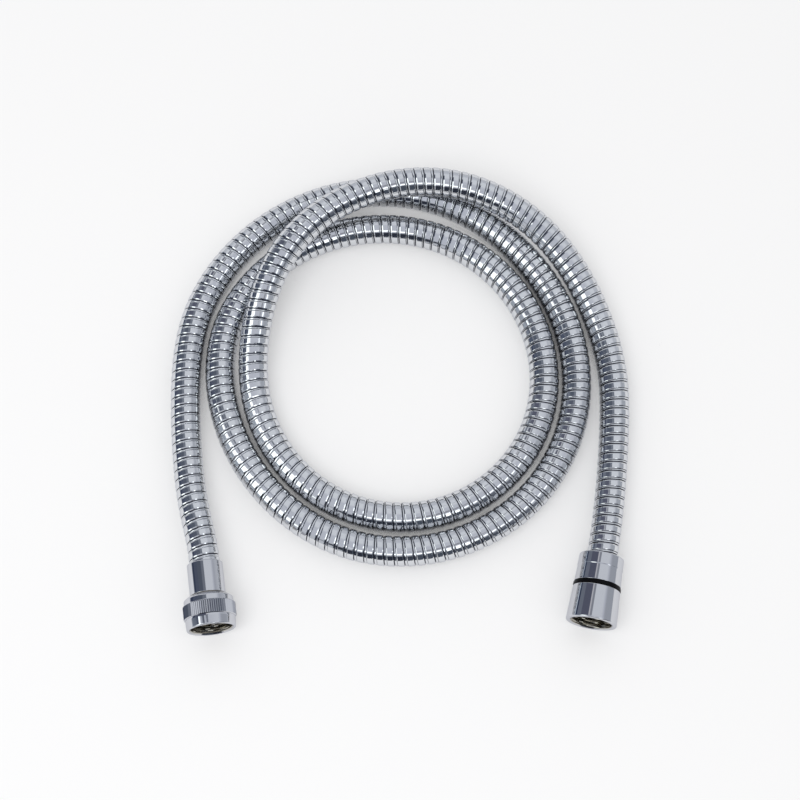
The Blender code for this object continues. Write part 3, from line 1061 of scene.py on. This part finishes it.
@dataclass
class HandsetFitting:
    """Conical collar and sleeve with the black ring between them, the brass stem and the washer."""

    bore: float = 0.00712
    cone_back: float = -0.0096
    cone_mouth: float = 0.0216
    back_radius: float = 0.00995
    waist: float = 0.0047
    waist_radius: float = 0.01074
    mouth_radius: float = 0.0116
    collar_front: float = 0.0036
    band_end: float = -0.0038
    ring_back: float = 0.0039
    ring_front: float = 0.0055
    ring_proud: float = 0.00015
    sleeve_back: float = 0.0058
    seal: float = 0.0073
    web_front: float = 0.0096
    seat: float = 0.0116
    journal_bore: float = 0.0055
    waterway: float = 0.0026
    journal: float = 0.0052
    neck: float = 0.0070
    recess: float = 0.0073
    chamfer: float = 0.0005
    barb: float = 0.00345
    barb_back: float = -0.0107
    barb_front: float = 0.0003
    clip_back: float = 0.0110
    clip_groove: float = 0.0042
    seal_groove: float = 0.00375
    seal_half: float = 0.0009
    seal_gap: float = 0.0003
    thread_lead: float = 0.0026
    thread: Thread = field(default_factory=lambda: Thread(cuts=30))
    washer: Seal = field(default_factory=Seal)

    def radius(self, station: float) -> float:
        """Outside radius at a station: the collar widens a little faster than the sleeve."""
        stations = (self.cone_back, self.waist, self.cone_mouth)
        return float(np.interp(station, stations, (self.back_radius, self.waist_radius, self.mouth_radius)))

    def build(self, axis: FittingAxis, finishes: dict[Slot, bpy.types.Material]) -> list[bpy.types.Object]:
        """Turn the five pieces and let them ride on their bodies.

        Args:
            axis: The fitting's axis.
            finishes: The materials by slot.

        Returns:
            The five pieces.
        """
        place = axis.place()
        collar = self.turn_collar().finish(place, finishes[Slot.CHROME])
        ring = self.turn_ring().finish(place, finishes[Slot.BLACK_PLASTIC])
        sleeve = self.turn_sleeve().finish(place, finishes[Slot.CHROME])
        stem = self.turn_stem().finish(place, finishes[Slot.BRASS])
        washer = self.washer.build("handset_seal", self.seat + self.seal_gap, place, finishes[Slot.RUBBER])
        settle(collar, "hose", Slot.CHROME, "handset_collar")
        settle(ring, "hose", Slot.BLACK_PLASTIC, "black_ring")
        settle(sleeve, "handset_sleeve", Slot.CHROME, "handset_sleeve")
        settle(stem, "hose", Slot.BRASS, "handset_insert")
        settle(washer, "handset_sleeve", Slot.RUBBER, "handset_washer")
        return [collar, ring, sleeve, stem, washer]

    def turn_collar(self) -> Lathe:
        """The collar, whose top band stands a little proud and ends in a fine chamfer.

        Returns:
            The collar, still on its lathe.
        """
        corners = [
            Corner(self.radius(self.collar_front), self.collar_front, 0.00015),
            Corner(self.radius(self.band_end), self.band_end),
            Corner(self.radius(self.band_end) + 0.00014, self.band_end - 0.00030, 0.00006),
            Corner(self.back_radius + 0.00024, self.cone_back, 0.00040),
            Corner(self.bore, self.cone_back, 0.00015),
            Corner(self.bore, self.collar_front),
        ]
        return Lathe("conical_collar", corners)

    def turn_ring(self) -> Lathe:
        """The black ring, a little proud of the cone.

        Returns:
            The ring, still on its lathe.
        """
        corners = [
            Corner(self.radius(self.ring_front) + self.ring_proud, self.ring_front, 0.00025),
            Corner(self.radius(self.ring_back) + self.ring_proud, self.ring_back, 0.00025),
            Corner(self.journal_bore, self.ring_back),
            Corner(self.journal_bore, self.ring_front),
        ]
        return Lathe("swivel_ring", corners)

    def turn_sleeve(self) -> Lathe:
        """The sleeve with its web, recess and threaded mouth.

        Returns:
            The sleeve, still on its lathe.
        """
        bore = self.thread.inside / 2
        corners = [
            Corner(bore + self.chamfer, self.cone_mouth, 0.00012),
            Corner(self.mouth_radius, self.cone_mouth, 0.00060),
            Corner(self.radius(self.sleeve_back), self.sleeve_back, 0.00015),
            Corner(self.journal_bore, self.sleeve_back),
            Corner(self.journal_bore, self.web_front),
            Corner(self.recess, self.web_front),
            Corner(self.recess, self.seat),
            Corner(bore, self.seat),
            Corner(bore, self.cone_mouth - self.chamfer),
        ]
        turned = Lathe("conical_sleeve", corners, 128)
        turned.thread(self.thread, self.seat + self.thread_lead, self.cone_mouth - self.chamfer)
        turned.bore_within = self.thread.outside / 2 + SLACK
        return turned

    def turn_stem(self) -> Lathe:
        """The brass stem: barb, shoulder and grooved journal.

        Returns:
            The stem, still on its lathe.
        """
        corners = [
            Corner(self.journal, self.seat, 0.0002),
            Corner(self.journal, self.clip_back),
            Corner(self.clip_groove, self.clip_back),
            Corner(self.clip_groove, self.web_front),
            Corner(self.journal, self.web_front),
            Corner(self.journal, self.seal + self.seal_half),
            Corner(self.seal_groove, self.seal + self.seal_half),
            Corner(self.seal_groove, self.seal - self.seal_half),
            Corner(self.journal, self.seal - self.seal_half),
            Corner(self.journal, self.collar_front),
            Corner(self.neck, self.collar_front),
            Corner(self.neck, self.barb_front),
            Corner(self.barb, self.barb_front),
            Corner(self.barb, self.barb_back),
            Corner(self.waterway, self.barb_back),
            Corner(self.waterway, self.seat, 0.0002),
        ]
        return Lathe("brass_stem", corners)


def settle(piece: bpy.types.Object, body: str, slot: Slot, *nodes: str) -> None:
    """Let a piece ride on a body and stand for its solids.

    Args:
        piece: The finished piece.
        body: The body's name.
        slot: The record's slot of its finish; not used.
        nodes: The solids that it stands for.
    """
    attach(piece, body)
    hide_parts(*nodes)
    log.info("%s: %d faces, on %s", piece.name, len(piece.data.polygons), body)


# The studio


@dataclass(frozen=True)
class Panel:
    """A bright or dark rectangle on the studio's dome.

    The dome is drawn as a disc: the zenith is its middle, the horizon its rim at radius 1, x to the
    right and y away from the camera. A panel has a middle, half its length and width, and a turn.
    """

    x: float
    y: float
    length: float
    width: float
    turn: float
    colour: Colour
    edge: float = 0.03


@dataclass
class Studio:
    """A white floor, a soft key light and plain surroundings with a few bright and dark sides."""

    floor_size: float = 8.0
    floor_height: float = -0.0002
    floor_colour: Colour = (0.72, 0.72, 0.725)
    floor_mirrored: Colour = (0.67, 0.68, 0.705)
    floor_shaded: Colour = (0.05, 0.05, 0.055)
    floor_glow: float = 0.238
    distant_glow: float = 0.17
    fade_middle: float = 1.7
    fade_width: float = 2.6
    crevice: float = 0.012
    crevice_open: float = 0.075
    crevice_edge: float = 0.055
    ambient: float = 0.80
    key_power: float = 4.0
    key_size: float = 0.9
    key_place: tuple[float, float, float] = (-0.35, -0.35, 1.15)
    key_aim: tuple[float, float, float] = (0.0, 0.10, 0.0)
    surroundings: Colour = (0.58, 0.605, 0.68)
    horizon: Colour = (0.575, 0.60, 0.65)
    horizon_middle: float = 0.62
    horizon_width: float = 0.5
    panels: Sequence[Panel] = (
        Panel(0.0, 0.30, 0.40, 0.20, 0.0, (0.73, 0.76, 0.815), 0.14),
        Panel(0.78, -0.06, 0.30, 0.36, 0.0, (0.42, 0.445, 0.495), 0.14),
        Panel(-0.66, 0.30, 0.27, 0.20, -5.0, (0.18, 0.20, 0.25), 0.08),
        Panel(-0.68, 0.13, 0.25, 0.13, 0.0, (0.095, 0.112, 0.16), 0.05),
        Panel(-0.14, 0.152, 0.09, 0.070, -8.0, (0.20, 0.22, 0.265), 0.025),
        Panel(-0.32, 0.165, 0.125, 0.10, -8.0, (0.108, 0.126, 0.165), 0.03),
        Panel(-0.085, 0.238, 0.068, 0.026, -12.0, (0.30, 0.315, 0.36), 0.015),
        Panel(-0.31, 0.298, 0.175, 0.050, -16.0, (0.115, 0.123, 0.172), 0.015),
        Panel(-0.79, 0.35, 0.07, 0.26, 0.0, (0.045, 0.058, 0.10), 0.04),
        Panel(-0.125, 0.262, 0.026, 0.035, -8.0, (0.60, 0.60, 0.64), 0.015),
        Panel(-0.93, 0.38, 0.035, 0.25, 158.0, (0.75, 0.95, 1.15), 0.03),
        Panel(-0.80, -0.34, 0.22, 0.36, 0.0, (0.38, 0.425, 0.485), 0.10),
        Panel(-0.45, -0.20, 0.25, 0.125, 66.0, (1.75, 1.85, 1.86), 0.03),
        Panel(-0.12, -0.78, 0.22, 0.30, 0.0, (0.028, 0.034, 0.050), 0.06),
        Panel(0.42, -0.70, 0.36, 0.30, 0.0, (0.075, 0.090, 0.118), 0.06),
        Panel(0.50, -0.37, 0.17, 0.09, 0.0, (0.14, 0.155, 0.19), 0.06),
        Panel(0.04, -0.335, 0.17, 0.036, 8.0, (2.1, 2.2, 2.25), 0.02),
        Panel(0.21, -0.41, 0.045, 0.07, 0.0, (2.1, 2.2, 2.25), 0.02),
        Panel(0.31, -0.19, 0.15, 0.040, 55.0, (1.7, 1.8, 1.88), 0.02),
        Panel(0.10, -0.17, 0.07, 0.045, 20.0, (0.30, 0.31, 0.35), 0.03),
    )

    def build(self) -> None:
        """Lay the floor, hang the key light and fill the world."""
        self._floor()
        self._key()
        self._world()

    def _floor(self) -> None:
        """A white floor that keeps the object's shadow, with painted shade in the narrow gaps between the
        strands, and runs into the white background far away.
        """
        deselect_all()
        bpy.ops.mesh.primitive_plane_add(size=self.floor_size, location=(0.0, 0.0, self.floor_height))
        floor = bpy.context.active_object
        floor.name = "studio_floor"
        material = bpy.data.materials.new("studio_floor")
        material.use_nodes = True
        graph = Graph(material.node_tree)
        shader = material.node_tree.nodes["Principled BSDF"]
        shader.inputs["Roughness"].default_value = 0.9
        shader.inputs["Specular IOR Level"].default_value = 0.0
        light = graph.node("ShaderNodeLightPath")
        occlusion = graph.node("ShaderNodeAmbientOcclusion", None, {"Distance": self.crevice})
        pale = graph.mix(graph.value(light, "Is Glossy Ray"), self.floor_colour, self.floor_mirrored)
        # Painted shade: where little is open within a short reach, in the narrow gaps under and between the
        # strands, the floor turns dark and stops glowing.
        open_floor = graph.step(graph.value(occlusion, "AO"), self.crevice_open, self.crevice_edge)
        graph.fill(shader.inputs["Base Color"], graph.mix(open_floor, self.floor_shaded, pale))
        seen = graph.value(light, "Is Camera Ray") + graph.value(light, "Is Glossy Ray")
        seen = seen + graph.value(light, "Is Transmission Ray")
        shader.inputs["Emission Color"].default_value = (1.0, 1.0, 1.0, 1.0)
        reach = graph.node("ShaderNodeVectorMath", {"operation": "LENGTH"})
        graph.fill(reach.inputs[0], graph.node("ShaderNodeTexCoord").outputs["Object"])
        distance = graph.value(reach, "Value")
        pallor = graph.step(distance, self.fade_middle, self.fade_width) * self.distant_glow + self.floor_glow
        glow = graph.maths("MINIMUM", seen, 1.0) * open_floor * pallor
        graph.fill(shader.inputs["Emission Strength"], glow)
        floor.data.materials.append(material)

    def _key(self) -> None:
        """A large soft lamp high at the left front."""
        lamp = bpy.data.lights.new("key", "AREA")
        lamp.energy = self.key_power
        lamp.shape = "DISK"
        lamp.size = self.key_size
        key = bpy.data.objects.new("key", lamp)
        key.location = self.key_place
        aim = Vector(self.key_aim) - key.location
        key.rotation_euler = aim.to_track_quat("-Z", "Y").to_euler()
        key.visible_glossy = False
        bpy.context.scene.collection.objects.link(key)

    def _world(self) -> None:
        """Surroundings: plain and pale for soft light, white to the eye, and a studio's sides in chrome."""
        world = bpy.data.worlds.new("studio")
        bpy.context.scene.world = world
        world.use_nodes = True
        world.node_tree.nodes.clear()
        graph = Graph(world.node_tree)
        way = graph.node("ShaderNodeTexCoord").outputs["Generated"]
        parts = graph.node("ShaderNodeSeparateXYZ", None, {0: way})
        x, y, z = (graph.value(parts, number) for number in range(3))
        across = x / (z + 1.0)
        away = y / (z + 1.0)
        reach = graph.maths("SQRT", across * across + away * away)
        low = graph.step(reach, self.horizon_middle, self.horizon_width)
        sides = graph.mix(low, self.surroundings, self.horizon)
        for panel in self.panels:
            cosine = math.cos(math.radians(panel.turn))
            sine = math.sin(math.radians(panel.turn))
            right = across - panel.x
            back = away - panel.y
            along = right * cosine + back * sine
            aside = back * cosine - right * sine
            mask = graph.between(along, -panel.length, panel.length, panel.edge)
            mask = mask * graph.between(aside, -panel.width, panel.width, panel.edge)
            sides = graph.mix(mask, sides, panel.colour)
        light = graph.node("ShaderNodeLightPath")
        ambient = (self.ambient, self.ambient, self.ambient)
        seen = graph.mix(graph.value(light, "Is Glossy Ray"), ambient, sides)
        seen = graph.mix(graph.value(light, "Is Camera Ray"), seen, (1.0, 1.0, 1.0))
        seen = graph.mix(graph.value(light, "Is Transmission Ray"), seen, (1.0, 1.0, 1.0))
        background = graph.node("ShaderNodeBackground", None, {"Color": seen, "Strength": 1.0})
        graph.node("ShaderNodeOutputWorld", None, {"Surface": background.outputs[0]})


@dataclass
class PhotoCamera:
    """The photograph's camera, which looks down on the coil from the fittings' side."""

    elevation: float = 72.5
    distance: float = 0.80
    lens: float = 75.735
    target: tuple[float, float, float] = (-0.0017, 0.0949, 0.0)

    def build(self) -> None:
        """Place the camera and make it the scene's."""
        rise = math.radians(self.elevation)
        camera = bpy.data.cameras.new("photo_camera")
        camera.lens = self.lens
        camera.sensor_width = 36.0
        camera.clip_end = 100.0
        holder = bpy.data.objects.new("photo_camera", camera)
        back = Vector((0.0, -math.cos(rise), math.sin(rise))) * self.distance
        holder.location = Vector(self.target) + back
        holder.rotation_euler = (math.pi / 2 - rise, 0.0, 0.0)
        bpy.context.scene.collection.objects.link(holder)
        bpy.context.scene.camera = holder


def paint(nodes: dict[str, bpy.types.Object], material: bpy.types.Material, *names: str) -> None:
    """Give solids that stay in the scene their material.

    Args:
        nodes: The frame's objects by node.
        material: The material.
        names: The nodes that it is for.
    """
    for name in names:
        nodes[name].data.materials.clear()
        nodes[name].data.materials.append(material)


def main() -> None:
    """Build the studio, the hose and its fittings."""
    logging.basicConfig(level=logging.INFO, format="%(message)s")
    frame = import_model()
    bpy.context.scene.view_settings.view_transform = "Standard"
    PhotoCamera().build()

    finishes = {
        finish.slot: finish.build()
        for finish in (STRIP_CHROME, CHROME, BRASS, SPRING_STEEL, RUBBER, BLACK_PLASTIC, TUBE_PLASTIC)
    }
    mixer = FittingAxis.of_joint(frame["joints"], "nut_spin")
    handset = FittingAxis.of_joint(frame["joints"], "sleeve_spin")

    hose = WoundHose()
    line = hose.route.line(mixer.origin, -mixer.out, handset.origin, handset.out)
    strip = hose.build(line, finishes[Slot.HOSE_STRIP])
    settle(strip, "hose", Slot.HOSE_STRIP, "metal_hose")

    mixer_pieces = MixerFitting().build(mixer, finishes)
    handset_pieces = HandsetFitting().build(handset, finishes)
    nodes = frame["nodes"]
    paint(nodes, finishes[Slot.WATER_TUBE], "water_tube")
    paint(nodes, finishes[Slot.RUBBER], "handset_o_ring")
    paint(nodes, finishes[Slot.SPRING_STEEL], "retaining_clip")

    2 * hose.radius
    Studio().build()


if __name__ == "__main__":
    main()
